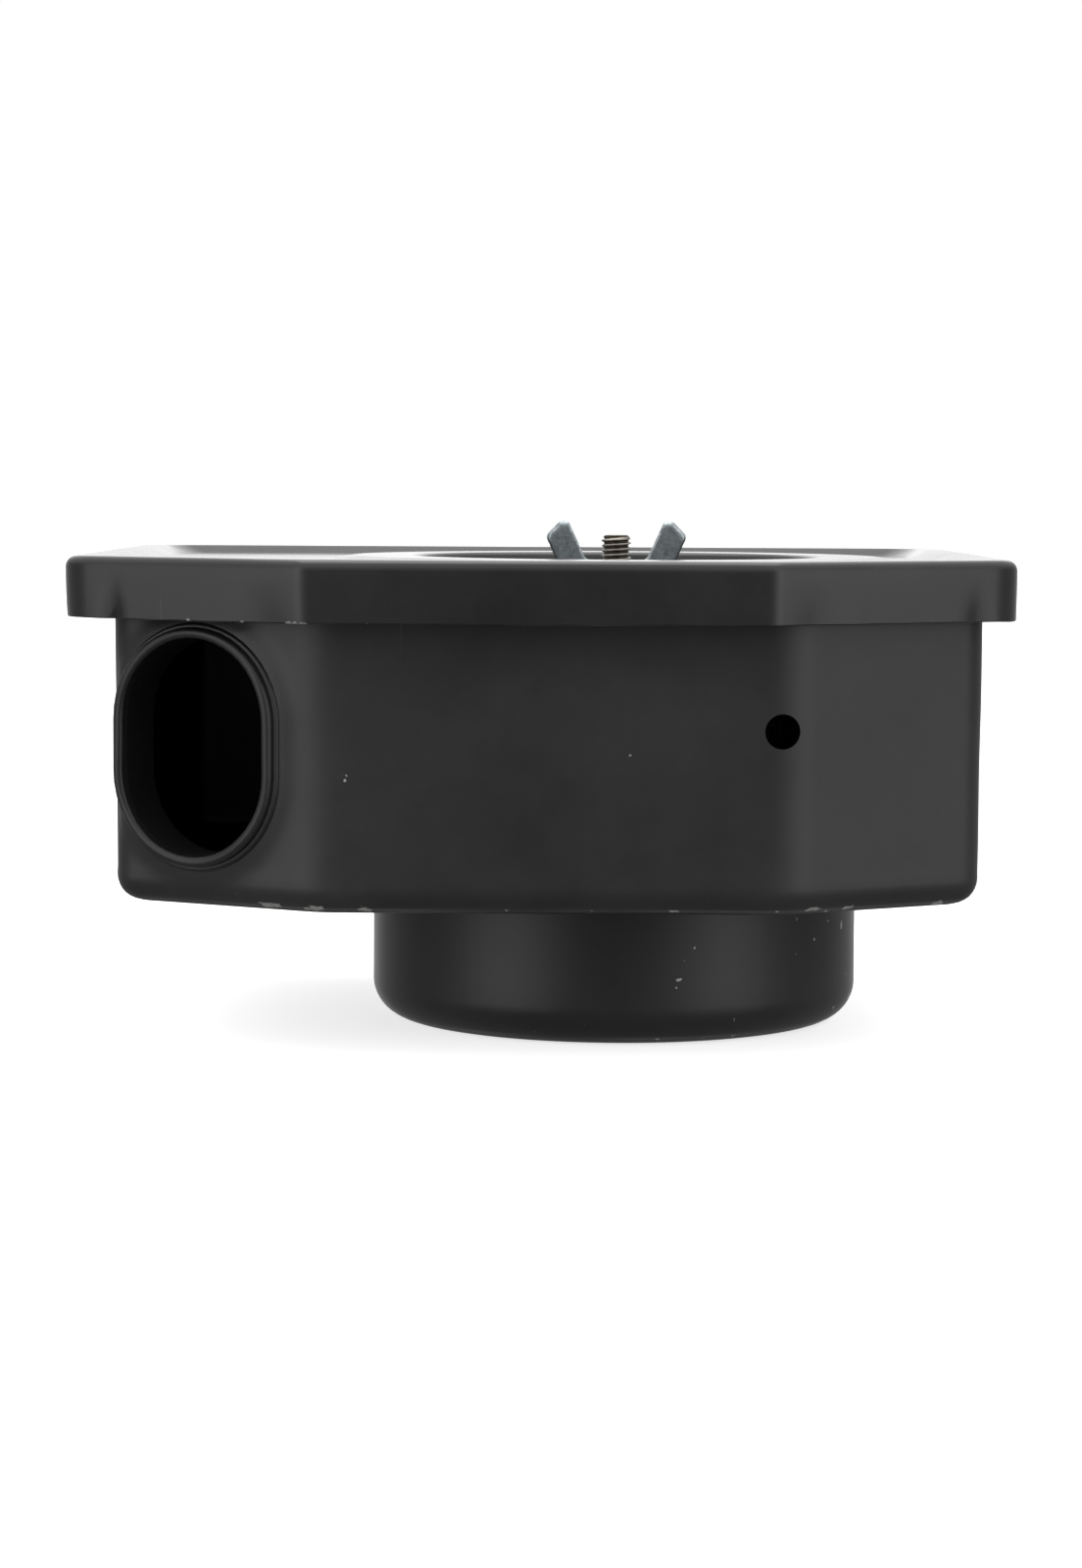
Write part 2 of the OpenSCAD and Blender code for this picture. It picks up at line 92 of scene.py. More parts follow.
# ---------------------------------------------------------------- shapes
def outline(corners, radii, inset, low_radius=2 * MM):
    """A rounded outline moved inwards: every corner is where its two moved edges cross,
    an arc of radius (radius - inset) joins them, and straight runs are split evenly."""
    ahead = np.roll(corners, -1, 0) - corners
    runs = np.linalg.norm(np.roll(LID_CORNERS, -1, 0) - LID_CORNERS, axis=1)
    counts = np.ceil(runs / RUN_STEP).astype(int) if len(corners) == 6 else np.full(len(corners), 8)
    d = ahead / np.linalg.norm(ahead, axis=1, keepdims=True)
    n = np.stack([-d[:, 1], d[:, 0]], 1)
    d0, n0 = np.roll(d, 1, 0), np.roll(n, 1, 0)
    cos_turn = (n0 * n).sum(1)
    turn = np.arccos(np.clip(cos_turn, -1, 1))
    v = corners + inset * (n0 + n) / (1 + cos_turn)[:, None]
    r = np.maximum(radii - inset, np.minimum(radii, low_radius))
    centre = v - d0 * (r * np.tan(turn / 2))[:, None] + n0 * r[:, None]
    start = np.arctan2(-n0[:, 1], -n0[:, 0])
    angle = start[:, None] + turn[:, None] * np.linspace(0, 1, ARC_POINTS)
    arcs = centre[:, None] + r[:, None, None] * np.stack([np.cos(angle), np.sin(angle)], 2)
    parts = []
    for i, count in enumerate(counts):
        a, b = arcs[i, -1], arcs[(i + 1) % len(corners), 0]
        t = np.arange(1, count)[:, None] / count
        parts += [arcs[i], a + (b - a) * t]
    return np.concatenate(parts)


def rounded(points, radii, steps=6):
    """A line of (across, up) points whose inner corners become arcs tangent to both sides."""
    points = np.asarray(points, float)
    out = [points[:1]]
    for p0, p, p1, r in zip(points, points[1:], points[2:], radii):
        a, b = (p0 - p) / np.linalg.norm(p0 - p), (p1 - p) / np.linalg.norm(p1 - p)
        half = np.arccos(np.clip(a @ b, -1, 1)) / 2
        if r <= 0 or half > math.pi / 2 - 1e-3:
            out.append(p[None])
            continue
        centre = p + (a + b) / np.linalg.norm(a + b) * r / math.sin(half)
        start, end = p + a * r / math.tan(half) - centre, p + b * r / math.tan(half) - centre
        span = math.pi - 2 * half
        t = np.linspace(0, 1, steps + 1)[:, None]
        out.append(centre + (start * np.sin((1 - t) * span) + end * np.sin(t * span)) / math.sin(span))
    out.append(points[-1:])
    return np.concatenate(out)


def split_long(line, longest):
    """The same line with evenly spaced points added wherever two neighbours are far apart."""
    parts = []
    for a, b in zip(line, line[1:]):
        count = max(1, math.ceil(np.linalg.norm(b - a) / longest))
        parts.append(a + (b - a) * (np.arange(count) / count)[:, None])
    return np.concatenate(parts + [line[-1:]])


def sheet_loop(line, thick, nip=0.2 * MM):
    """Closed section of bent sheet: the line is the outer face, and the inner face is the
    line moved back along its own normals by the sheet's thickness. nip cuts the corners of
    its two ends."""
    step = np.diff(line, axis=0)
    n = np.stack([step[:, 1], -step[:, 0]], 1) / np.linalg.norm(step, axis=1, keepdims=True)
    before, after = np.vstack([n[:1], n]), np.vstack([n, n[-1:]])
    mean = before + after
    mitre = mean / (mean * after).sum(1, keepdims=True)
    inner = line - thick * mitre
    start, end = (np.array([-n[i][1], n[i][0]]) * nip for i in (0, -1))
    first, last = n[0] * nip, n[-1] * nip
    return np.concatenate([
        [line[0] - first, line[0] + start], line[1:-1], [line[-1] - end, line[-1] - last],
        [inner[-1] + last, inner[-1] - end], inner[-2:0:-1], [inner[0] + start, inner[0] + first],
    ])


def rounded_loop(points, radii, steps=5):
    """A closed section with every corner rounded."""
    points = np.asarray(points, float)
    middle = (points[-1] + points[0]) / 2
    line = rounded(np.vstack([middle, points, middle]), radii, steps)
    return line[:-1]


def mesh_piece(name, rows, body, slot, material, *nodes, loop=True, caps=False, sharp=35):
    """Surface through rows of points, each row a closed turn: quads join neighbours, and the
    last row joins the first when the section is a loop. caps closes both end rows."""
    m, k = rows.shape[:2]
    i = np.arange(m if loop else m - 1)[:, None]
    j = np.arange(k)[None]
    a, b = i * k + j, i * k + (j + 1) % k
    c, d = (i + 1) % m * k + (j + 1) % k, (i + 1) % m * k + j
    faces = np.stack([a, b, c, d], 2).reshape(-1, 4).tolist()
    if caps:
        faces.append(list(range(k))[::-1])
        faces.append(list(range((m - 1) * k, m * k)))
    mesh = bpy.data.meshes.new(name)
    mesh.from_pydata(rows.reshape(-1, 3).tolist(), [], faces)
    return finish_piece(name, mesh, body, slot, material, *nodes, sharp=sharp)


def face_outwards(mesh):
    """Turns a closed mesh's normals outwards if its signed volume is negative."""
    mesh.validate()
    mesh.calc_loop_triangles()
    corner = np.empty(3 * len(mesh.loop_triangles), int)
    mesh.loop_triangles.foreach_get("vertices", corner)
    place = np.empty(3 * len(mesh.vertices))
    mesh.vertices.foreach_get("co", place)
    p, q, r = place.reshape(-1, 3)[corner.reshape(-1, 3)].transpose(1, 0, 2)
    if (p * np.cross(q, r)).sum() < 0:
        mesh.flip_normals()


def finish_piece(name, mesh, body, slot, material, *nodes, sharp=35):
    """Outward normals, smooth faces with true creases kept, then the piece's body, material
    and CAD nodes. slot is not used."""
    face_outwards(mesh)
    mesh.shade_smooth()
    mesh.set_sharp_from_angle(angle=math.radians(sharp))
    piece = bpy.data.objects.new(name, mesh)
    bpy.context.scene.collection.objects.link(piece)
    piece.data.materials.append(material)
    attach(piece, body)
    if nodes:
        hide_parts(*nodes)
    return piece


def revolve(section, steps=128):
    """Rows of a body of revolution: each section point (r, z) goes once round the Z axis."""
    t = np.arange(steps) * TURN / steps
    r, z = section[:, :1], section[:, 1:]
    return np.stack([r * np.cos(t), r * np.sin(t), z + 0 * t], 2)


def cut_away(piece, *cutters):
    """Cuts closed meshes out of a piece, and keeps the creases at the cut."""
    for cutter in cutters:
        cut = piece.modifiers.new("cut", "BOOLEAN")
        cut.object, cut.operation, cut.solver = cutter, "DIFFERENCE", "EXACT"
    settle(piece)
    for cutter in cutters:
        bpy.data.objects.remove(cutter)


def settle(piece, sharp=35):
    """Turns the piece's modifiers into mesh."""
    deps = bpy.context.evaluated_depsgraph_get()
    mesh = bpy.data.meshes.new_from_object(piece.evaluated_get(deps))
    piece.modifiers.clear()
    piece.data = mesh
    mesh.shade_smooth()
    mesh.set_sharp_from_angle(angle=math.radians(sharp))


def cutter(rows):
    """A closed tool body for cut_away, not part of the scene's pieces."""
    m, k = rows.shape[:2]
    i, j = np.arange(m - 1)[:, None], np.arange(k)[None]
    quads = np.stack([i * k + j, i * k + (j + 1) % k, (i + 1) * k + (j + 1) % k, (i + 1) * k + j], 2)
    faces = quads.reshape(-1, 4).tolist() + [list(range(k))[::-1], list(range((m - 1) * k, m * k))]
    mesh = bpy.data.meshes.new("cutter")
    mesh.from_pydata(rows.reshape(-1, 3).tolist(), [], faces)
    face_outwards(mesh)
    tool = bpy.data.objects.new("cutter", mesh)
    bpy.context.scene.collection.objects.link(tool)
    tool.hide_render = True
    return tool


def rod(centre, axis, radius, length, steps=48):
    """Rows of a round bar centred on a point, along a unit axis."""
    axis = np.asarray(axis, float)
    side = np.cross(axis, [0, 0, 1]) if abs(axis[2]) < 0.9 else np.array([1.0, 0, 0])
    side /= np.linalg.norm(side)
    up = np.cross(axis, side)
    t = np.arange(steps)[:, None] * TURN / steps
    ring = radius * (np.cos(t) * side + np.sin(t) * up)
    ends = np.array([-length / 2, length / 2])[:, None, None] * axis
    return np.asarray(centre) + ends + ring


# ---------------------------------------------------------------- materials
def new_node(tree, kind, **values):
    """A shader node with its inputs set: sockets are linked, anything else is a value."""
    made = tree.nodes.new("ShaderNode" + kind)
    for key, value in values.items():
        key = key.replace("_", " ")
        if key.startswith("set "):
            setattr(made, key[4:].replace(" ", "_"), value)
            continue
        socket = made.inputs[int(key[2:])] if key.startswith("in") and key[2:].isdigit() else made.inputs[key]
        if isinstance(value, bpy.types.NodeSocket):
            tree.links.new(value, socket)
        else:
            socket.default_value = value
    return made


def new_group(name, inputs, outputs):
    """An empty node group with named inputs (name, kind, value) and outputs (name, kind)."""
    group = bpy.data.node_groups.new(name, "ShaderNodeTree")
    for label, kind, value in inputs:
        socket = group.interface.new_socket(name=label, in_out="INPUT", socket_type="NodeSocket" + kind)
        if value is not None:
            socket.default_value = value
    for label, kind in outputs:
        group.interface.new_socket(name=label, in_out="OUTPUT", socket_type="NodeSocket" + kind)
    return group, group.nodes.new("NodeGroupInput").outputs, group.nodes.new("NodeGroupOutput").inputs


def math_node(tree, operation, a, b=0.0):
    return new_node(tree, "Math", set_operation=operation, in0=a, in1=b).outputs[0]


def ramp(tree, value, low, high, to_low=0.0, to_high=1.0):
    """Maps a value from one range to another, clamped."""
    return new_node(tree, "MapRange", Value=value, From_Min=low, From_Max=high,
                    To_Min=to_low, To_Max=to_high).outputs["Result"]


def blend(tree, share, a, b):
    """a where share is 0, b where it is 1."""
    mixed = new_node(tree, "Mix", set_data_type="FLOAT")
    for socket, value in zip(mixed.inputs[:1] + mixed.inputs[2:4], (share, a, b)):
        if isinstance(value, bpy.types.NodeSocket):
            tree.links.new(value, socket)
        else:
            socket.default_value = value
    return mixed.outputs[0]


def noise(tree, vector, scale, detail=3.0, rough=0.5, stretch=None):
    if stretch is not None:
        vector = new_node(tree, "Mapping", Vector=vector, Scale=stretch).outputs[0]
    return new_node(tree, "TexNoise", Vector=vector, Scale=scale, Detail=detail,
                    Roughness=rough).outputs["Fac"]


def make_paint_group():
    """Handled black paint. Chips is sparse spots; Smear is large soft patches where hands
    and dust have been; Height is orange peel plus the slow waviness of pressed sheet."""
    group, given, gives = new_group(
        "handled_paint",
        [("Vector", "Vector", None), ("Chip Amount", "Float", 0.3), ("Waviness", "Float", 1.0)],
        [("Chips", "Float"), ("Smear", "Float"), ("Height", "Float"), ("Scratch", "Float")],
    )
    v = given["Vector"]
    spots = noise(group, v, 330, 2, 0.6)
    clusters = noise(group, v, 28, 2)
    limit = math_node(group, "MULTIPLY_ADD", given["Chip Amount"], -0.12)
    limit.node.inputs[2].default_value = 0.86
    busy = math_node(group, "MULTIPLY_ADD", clusters, 0.45)
    group.links.new(spots, busy.node.inputs[2])
    busy_less = math_node(group, "SUBTRACT", busy, 0.2)
    over = math_node(group, "SUBTRACT", busy_less, limit)
    group.links.new(ramp(group, over, 0.0, 0.02), gives["Chips"])
    patch = noise(group, v, 26, 6, 0.66)
    group.links.new(ramp(group, patch, 0.25, 0.8), gives["Smear"])
    lines = noise(group, v, 60, 2, 0.5, stretch=(9, 9, 0.35))
    group.links.new(ramp(group, lines, 0.735, 0.76), gives["Scratch"])
    peel = noise(group, v, 1500, 2, 0.5)
    wave = math_node(group, "MULTIPLY", noise(group, v, 42, 1, 0.4), given["Waviness"])
    wide = math_node(group, "MULTIPLY", wave, 9.0)
    peel_small = math_node(group, "MULTIPLY", peel, 0.10)
    group.links.new(math_node(group, "ADD", wide, peel_small), gives["Height"])
    return group


def make_edge_group():
    """Paint knocked off along a level edge: a noise threshold that only passes within a
    narrow band of heights. Above a flat bottom the band is centred on the bend, so that
    the flat itself is left whole. The second output is a painted highlight with rub wear:
    a lighter line right at the edge, in patches."""
    group, given, gives = new_group(
        "edge_wear",
        [("Vector", "Vector", None), ("Edge Height", "Float", 0.0), ("Band", "Float", 0.001)],
        [("Worn", "Float"), ("Rub and Highlight", "Float")],
    )
    z = new_node(group, "SeparateXYZ", Vector=given["Vector"]).outputs["Z"]
    away = math_node(group, "ABSOLUTE", math_node(group, "SUBTRACT", z, given["Edge Height"]))
    near = math_node(group, "SUBTRACT", 1.0, math_node(group, "DIVIDE", away, given["Band"]))
    near = math_node(group, "MAXIMUM", near, 0.0)
    spots = noise(group, given["Vector"], 210, 3, 0.65)
    groups = noise(group, given["Vector"], 24, 2, 0.5)
    both = math_node(group, "ADD", spots, math_node(group, "MULTIPLY", groups, 0.6))
    both = math_node(group, "ADD", both, math_node(group, "MULTIPLY", near, 0.1))
    worn = math_node(group, "MULTIPLY", ramp(group, both, 1.03, 1.06), ramp(group, near, 0.0, 0.35))
    group.links.new(worn, gives["Worn"])
    # painted highlight with rub wear: a lighter line in the middle of the band, where the edge's chamfer would
    # catch the light, in patches
    rub_and_highlight = math_node(group, "MULTIPLY", ramp(group, near, 0.6, 0.85), ramp(group, groups, 0.35, 0.6))
    group.links.new(rub_and_highlight, gives["Rub and Highlight"])
    return group


def make_grain_group():
    """Fine metal or rubber grain: Tone is cloudy colour variation, Height is the grain."""
    group, given, gives = new_group(
        "surface_grain",
        [("Vector", "Vector", None), ("Grain", "Float", 2500.0), ("Cloud", "Float", 250.0)],
        [("Tone", "Float"), ("Height", "Float")],
    )
    fine = new_node(group, "TexNoise", Vector=given["Vector"], Scale=given["Grain"], Detail=2.0)
    cloud = new_node(group, "TexNoise", Vector=given["Vector"], Scale=given["Cloud"], Detail=5.0,
                     Roughness=0.7)
    group.links.new(ramp(group, cloud.outputs["Fac"], 0.3, 0.7), gives["Tone"])
    group.links.new(fine.outputs["Fac"], gives["Height"])
    return group


PAINT_GROUP, EDGE_GROUP, GRAIN_GROUP = make_paint_group(), make_edge_group(), make_grain_group()


def material_base(name, roughness, metallic=0.0, ior=1.5):
    """A Principled material and the object coordinates that drive its pattern."""
    material = bpy.data.materials.new(name)
    material.use_nodes = True
    tree = material.node_tree
    shader = tree.nodes["Principled BSDF"]
    shader.inputs["Roughness"].default_value = roughness
    shader.inputs["Metallic"].default_value = metallic
    shader.inputs["IOR"].default_value = ior
    place = tree.nodes.new("ShaderNodeTexCoord").outputs["Object"]
    return material, tree, shader, place


def place_group(tree, group, vector, **values):
    made = tree.nodes.new("ShaderNodeGroup")
    made.node_tree = group
    tree.links.new(vector, made.inputs["Vector"])
    for key, value in values.items():
        made.inputs[key.replace("_", " ")].default_value = value
    return made.outputs


def mix_colour(tree, factor, a, b):
    mixed = new_node(tree, "Mix", set_data_type="RGBA")
    for socket, value in ((mixed.inputs[0], factor), (mixed.inputs[6], a), (mixed.inputs[7], b)):
        if isinstance(value, bpy.types.NodeSocket):
            tree.links.new(value, socket)
        else:
            socket.default_value = value
    return mixed.outputs[2]


def set_bump(tree, shader, height, strength, distance):
    bump = new_node(tree, "Bump", Strength=strength, Distance=distance, Height=height)
    tree.links.new(bump.outputs[0], shader.inputs["Normal"])


def black_paint(name, edge_height, band=1.2 * MM, chips=0.3, waviness=1.0, tone=1.0, gloss=0.32):
    """Satin black paint on pressed steel, chipped along one level edge. tone lightens it and
    gloss is the roughness where it is cleanest."""
    material, tree, shader, place = material_base(name, gloss)
    paint = place_group(tree, PAINT_GROUP, place, Chip_Amount=chips, Waviness=waviness)
    edge = place_group(tree, EDGE_GROUP, place, Edge_Height=float(edge_height), Band=float(band))
    worn = math_node(tree, "MAXIMUM", paint["Chips"], edge["Worn"])
    clean, handled = ([tone * c for c in shade] + [1] for shade in (CLEAN_BLACK, HANDLED_BLACK))
    colour = mix_colour(tree, paint["Smear"], clean, handled)
    scratched = math_node(tree, "MULTIPLY", paint["Scratch"], 0.35)
    colour = mix_colour(tree, scratched, colour, (0.09, 0.09, 0.09, 1))
    # painted highlight with rub wear along the edge: the line is lightened towards pale grey
    rub_and_highlight = math_node(tree, "MULTIPLY", edge["Rub and Highlight"], 0.5)
    colour = mix_colour(tree, rub_and_highlight, colour, (0.13, 0.13, 0.125, 1))
    colour = mix_colour(tree, worn, colour, (0.42, 0.42, 0.4, 1))
    tree.links.new(colour, shader.inputs["Base Color"])
    rough = ramp(tree, paint["Smear"], 0.0, 1.0, gloss, gloss + 0.1)
    tree.links.new(rough, shader.inputs["Roughness"])
    set_bump(tree, shader, math_node(tree, "SUBTRACT", paint["Height"], worn), 1.0, 0.012 * MM)
    return material


def plated_steel(name, light, dark, roughness=0.42, grain=2500.0, cloud=260.0):
    """Dull zinc or steel: cloudy tone, fine grain."""
    material, tree, shader, place = material_base(name, roughness, metallic=1.0)
    marks = place_group(tree, GRAIN_GROUP, place, Grain=grain, Cloud=cloud)
    tree.links.new(mix_colour(tree, marks["Tone"], dark, light), shader.inputs["Base Color"])
    rough = ramp(tree, marks["Tone"], 0, 1, roughness + 0.1, roughness - 0.06)
    tree.links.new(rough, shader.inputs["Roughness"])
    set_bump(tree, shader, marks["Height"], 0.6, 0.05 * MM)
    return material


def stud_steel():
    """Tarnished threads: bright on the crests, brown and dark towards the roots."""
    material, tree, shader, place = material_base("stud_steel", 0.38, metallic=1.0)
    marks = place_group(tree, GRAIN_GROUP, place, Grain=2200.0, Cloud=500.0)
    flat = new_node(tree, "VectorMath", set_operation="MULTIPLY", in0=place, in1=(1, 1, 0)).outputs[0]
    radius = new_node(tree, "VectorMath", set_operation="LENGTH", in0=flat).outputs["Value"]
    crest = ramp(tree, radius, 2.45 * MM, 2.9 * MM)
    colour = mix_colour(tree, crest, (0.05, 0.042, 0.034, 1), (0.52, 0.49, 0.44, 1))
    colour = mix_colour(tree, math_node(tree, "MULTIPLY", marks["Tone"], 0.35), colour, (0.2, 0.16, 0.12, 1))
    tree.links.new(colour, shader.inputs["Base Color"])
    set_bump(tree, shader, marks["Height"], 0.5, 0.04 * MM)
    return material


def soft_black(name, colour, dusty, roughness, grain, height=0.08 * MM):
    """Rubber: near black, with a little pale bloom and a fine grain."""
    material, tree, shader, place = material_base(name, roughness)
    marks = place_group(tree, GRAIN_GROUP, place, Grain=grain, Cloud=90.0)
    tree.links.new(mix_colour(tree, marks["Tone"], colour, dusty), shader.inputs["Base Color"])
    set_bump(tree, shader, marks["Height"], 0.7, height)
    return material


def filter_paper():
    """Resin-treated paper: tan and fibrous, with cloudy lighter and darker patches."""
    material, tree, shader, place = material_base("filter_paper", 0.85)
    marks = place_group(tree, GRAIN_GROUP, place, Grain=3000.0, Cloud=300.0)
    fibres = noise(tree, place, 900, 4, 0.7, stretch=(1, 1, 0.2))
    tone = math_node(tree, "MULTIPLY", math_node(tree, "ADD", marks["Tone"], fibres), 0.5)
    colour = mix_colour(tree, tone, (0.52, 0.4, 0.22, 1), (0.78, 0.68, 0.46, 1))
    tree.links.new(colour, shader.inputs["Base Color"])
    set_bump(tree, shader, fibres, 0.6, 0.06 * MM)
    return material


def open_foam():
    """Open-cell foam: dark grey with round pores of about a millimetre."""
    material, tree, shader, place = material_base("open_foam", 0.9)
    cells = new_node(tree, "TexVoronoi", Vector=place, Scale=850.0).outputs["Distance"]
    pore = ramp(tree, cells, 0.15, 0.6)
    # painted shade: the colour is darker towards each pore's middle, in the hollow
    colour = mix_colour(tree, pore, (0.008, 0.008, 0.009, 1), (0.075, 0.075, 0.08, 1))
    tree.links.new(colour, shader.inputs["Base Color"])
    set_bump(tree, shader, pore, 1.0, 0.35 * MM)
    return material


def spangled_sheet():
    """Galvanised sheet: flat crystal patches of slightly different grey."""
    material, tree, shader, place = material_base("spangled_sheet", 0.4, metallic=1.0)
    crystal = new_node(tree, "TexVoronoi", Vector=place, Scale=320.0).outputs["Color"]
    tone = new_node(tree, "SeparateXYZ", Vector=crystal).outputs["X"]
    colour = mix_colour(tree, tone, (0.42, 0.44, 0.45, 1), (0.68, 0.7, 0.71, 1))
    tree.links.new(colour, shader.inputs["Base Color"])
    tree.links.new(ramp(tree, tone, 0, 1, 0.3, 0.5), shader.inputs["Roughness"])
    return material


LID_PAINT = black_paint("lid_paint", SKIRT_Z, band=0.7 * MM, chips=0.15, tone=1.35, gloss=0.2)
PAN_PAINT = black_paint("pan_paint", FLOOR_Z + 0.9 * MM, band=0.8 * MM, chips=0.1, tone=1.6, gloss=0.33)
CUP_PAINT = black_paint("cup_paint", 1.3 * MM, chips=0.45, gloss=0.32)
DUCT_PAINT = black_paint("duct_paint", 0.0, chips=0.25)
INSIDE_PAINT = black_paint("inside_paint", 0.0, chips=0.0)
# painted shade: a darker, rougher, less shiny paint for the duct's deep inner faces, standing in for the shade
# inside the bore
BORE_SHADE_PAINT = black_paint("bore_painted_shade", 0.0, chips=0.0, tone=0.5, gloss=0.8)
BORE_SHADE_PAINT.node_tree.nodes["Principled BSDF"].inputs["Specular IOR Level"].default_value = 0.12
ZINC = plated_steel("zinc_plate", (0.62, 0.68, 0.7, 1), (0.16, 0.2, 0.22, 1), 0.38, 2200.0, 750.0)
WASHER_ZINC = plated_steel("washer_zinc", (0.66, 0.69, 0.71, 1), (0.42, 0.44, 0.45, 1), 0.34, 1800.0, 120.0)
PLAIN_STEEL = plated_steel("plain_steel", (0.46, 0.43, 0.4, 1), (0.28, 0.25, 0.22, 1), 0.45)
STUD_STEEL = stud_steel()
RUBBER = soft_black("seal_rubber", (0.014, 0.014, 0.014, 1), (0.05, 0.05, 0.048, 1), 0.62, 2600.0)
PAPER, FOAM, SPANGLE = filter_paper(), open_foam(), spangled_sheet()


# ---------------------------------------------------------------- lid
LID_SOFT = 5 * MM           # smallest corner radius of the lid's inner outlines
FIELD_START = 11 * MM       # rim and slope
FIELD_BLEND = 5 * MM
RING_FOOT_R, RING_TOP_R = 59.5 * MM, 52 * MM
LIP_INSET = LID_SHEET + 0.6 * MM
STUD_HOLE_R = 3.25 * MM


def stud_circle(ring, radius):
    """The points of a circle round the stud's axis that lie in line with an outline's points."""
    angle = np.arctan2(ring[:, 1], ring[:, 0])
    return radius * np.stack([np.cos(angle), np.sin(angle)], 1)


def lid_across(radius):
    """Distance in from the skirt that stands for a circle of this radius."""
    return FIELD_START + FIELD_BLEND + RING_FOOT_R + MM - radius


def lid_ring(u):
    """The lid's outline u metres in from the skirt: a rounded hexagon as far as the sunk
    field, then an even change to circles round the stud."""
    hexagon = outline(LID_CORNERS, LID_RADII, min(u, FIELD_START), LID_SOFT)
    if u <= FIELD_START:
        return hexagon
    share = min((u - FIELD_START) / FIELD_BLEND, 1)
    radius = RING_FOOT_R + MM - max(u - FIELD_START - FIELD_BLEND, 0)
    return hexagon + (stud_circle(hexagon, radius) - hexagon) * share


def stack(loop, ring_at):
    """Rows of a sheet body: each section point (across, up) becomes one level outline."""
    rings = [ring_at(-across) for across, _ in loop]
    return np.stack([np.column_stack([ring, np.full(len(ring), z)]) for ring, (_, z) in zip(rings, loop)])


def softly(x, y):
    """Slow, uneven rise and fall between 0 and 1 over the plan, from three crossed waves."""
    waves = np.sin(61 * x + 1.3) + np.sin(83 * y - 37 * x + 0.4) + np.sin(47 * x + 103 * y)
    return 0.5 + waves / 6


def bell(value, centre, width):
    """Smooth hump of height 1 round a centre."""
    return np.exp(-((value - centre) / width) ** 2)


def make_lid():
    u = [0, 0, 7 * MM, FIELD_START, lid_across(RING_FOOT_R), lid_across(RING_TOP_R),
         lid_across(WELL_R), lid_across(WELL_R - 3 * MM), lid_across(STUD_HOLE_R)]
    z = [SKIRT_Z, LID_Z, LID_Z, FIELD_Z, FIELD_Z, RING_Z, RING_Z, WELL_Z, WELL_Z]
    line = rounded(np.column_stack([-np.array(u), z]), np.array([2.1, 2.5, 2.5, 2.5, 4, 1.6, 1.8]) * MM)
    rows = stack(sheet_loop(split_long(line, 3 * MM), LID_SHEET), lid_ring)
    # the skirt is a little uneven, creased near both side corners and dented beside the folds
    x, y, z = rows[..., 0].copy(), rows[..., 1].copy(), rows[..., 2]
    low = np.clip((LID_Z - 3 * MM - z) / (LID_Z - 3 * MM - SKIRT_Z), 0, 1) * (z < FIELD_Z)
    outside = (np.hypot(x, y) > RING_FOOT_R + 2 * MM) * low
    out = np.stack([x, y], 2) / np.hypot(x, y)[..., None]
    crease = 1.5 * bell(x, lid_low[0] + 9.5 * MM, 1.3 * MM) + bell(x, lid_high[0] - 8 * MM, 1.4 * MM)
    fold = bell(x, LID_CORNERS[0][0] - 8 * MM, 4 * MM) + bell(x, LID_CORNERS[1][0] + 8 * MM, 4 * MM)
    front = y < LID_CORNERS[2][1] + 5 * MM
    uneven = 0.3 * softly(x, y) * low + 0.13 * softly(4.7 * x, 5.3 * y) + 0.04 * softly(21 * x, 3 * y + 40 * z)
    dent = outside * (uneven + front * (0.7 * crease * low + 0.45 * fold)) * MM
    rows[..., :2] -= out * dent[..., None]
    rows[..., 2] += outside * low * MM * (0.25 * softly(1.7 * y, x) + 0.12 * softly(9 * x, 7 * y))
    mesh_piece("lid_shell", rows, "lid", "black_paint", LID_PAINT, "lid")


make_lid()

# ---------------------------------------------------------------- pan
PAN_BLEND_START, PAN_BLEND = 8 * MM, 12 * MM
FLANGE_W = 6 * MM
RUN = np.array([-math.cos(CHAMFER), math.sin(CHAMFER), 0])
DUCT_OUT = np.array([-math.sin(CHAMFER), -math.cos(CHAMFER), 0])
UP = np.array([0, 0, 1.0])
DUCT_W, DUCT_H = 34.6 * MM, 44 * MM
DUCT_FOOT = np.array([*PAN_CORNERS[0], FLOOR_Z + 7.6 * MM + DUCT_H / 2]) + RUN * DUCT_ALONG
HOLE = np.array([PAN_CORNERS[1][0] - 2 * MM, wall_front + 0.2 * MM, FLOOR_Z + 33.7 * MM])


def pan_ring(u):
    """The pan's outline u metres in from its wall, blending to the cup's circle on the
    floor; for u below 0 it widens to the lid's outline, just inside the skirt."""
    wall = outline(PAN_CORNERS, PAN_RADII, min(max(u, 0), PAN_BLEND_START), LID_SOFT)
    if u < 0:
        lip = outline(LID_CORNERS, LID_RADII, LIP_INSET, LID_SOFT)
        return wall + (lip - wall) * min(-u / FLANGE_W, 1)
    share = min(max(u - PAN_BLEND_START, 0) / PAN_BLEND, 1)
    return wall + (stud_circle(wall, CUP_R + 0.05 * MM) - wall) * share


def obround(half_w, half_h, count=24):
    """Closed (along, up) loop: two half circles joined by straight upright sides."""
    t = np.linspace(0, math.pi, count)
    arc = half_w * np.stack([np.cos(t), np.sin(t)], 1) + [0, half_h - half_w]
    side = np.linspace(1, -1, 10)[1:-1, None] * [0, half_h - half_w] + [-half_w, 0]
    return np.concatenate([arc, side, -arc, -side])


def duct_rows(section):
    """Rows along the duct: each section point (inset from the outer wall, distance out)."""
    rows = []
    for inset, out in section:
        loop = obround(DUCT_W / 2 - inset, DUCT_H / 2 - inset)
        rows.append(DUCT_FOOT + loop[:, :1] * RUN + loop[:, 1:] * UP + out * DUCT_OUT)
    return np.stack(rows)


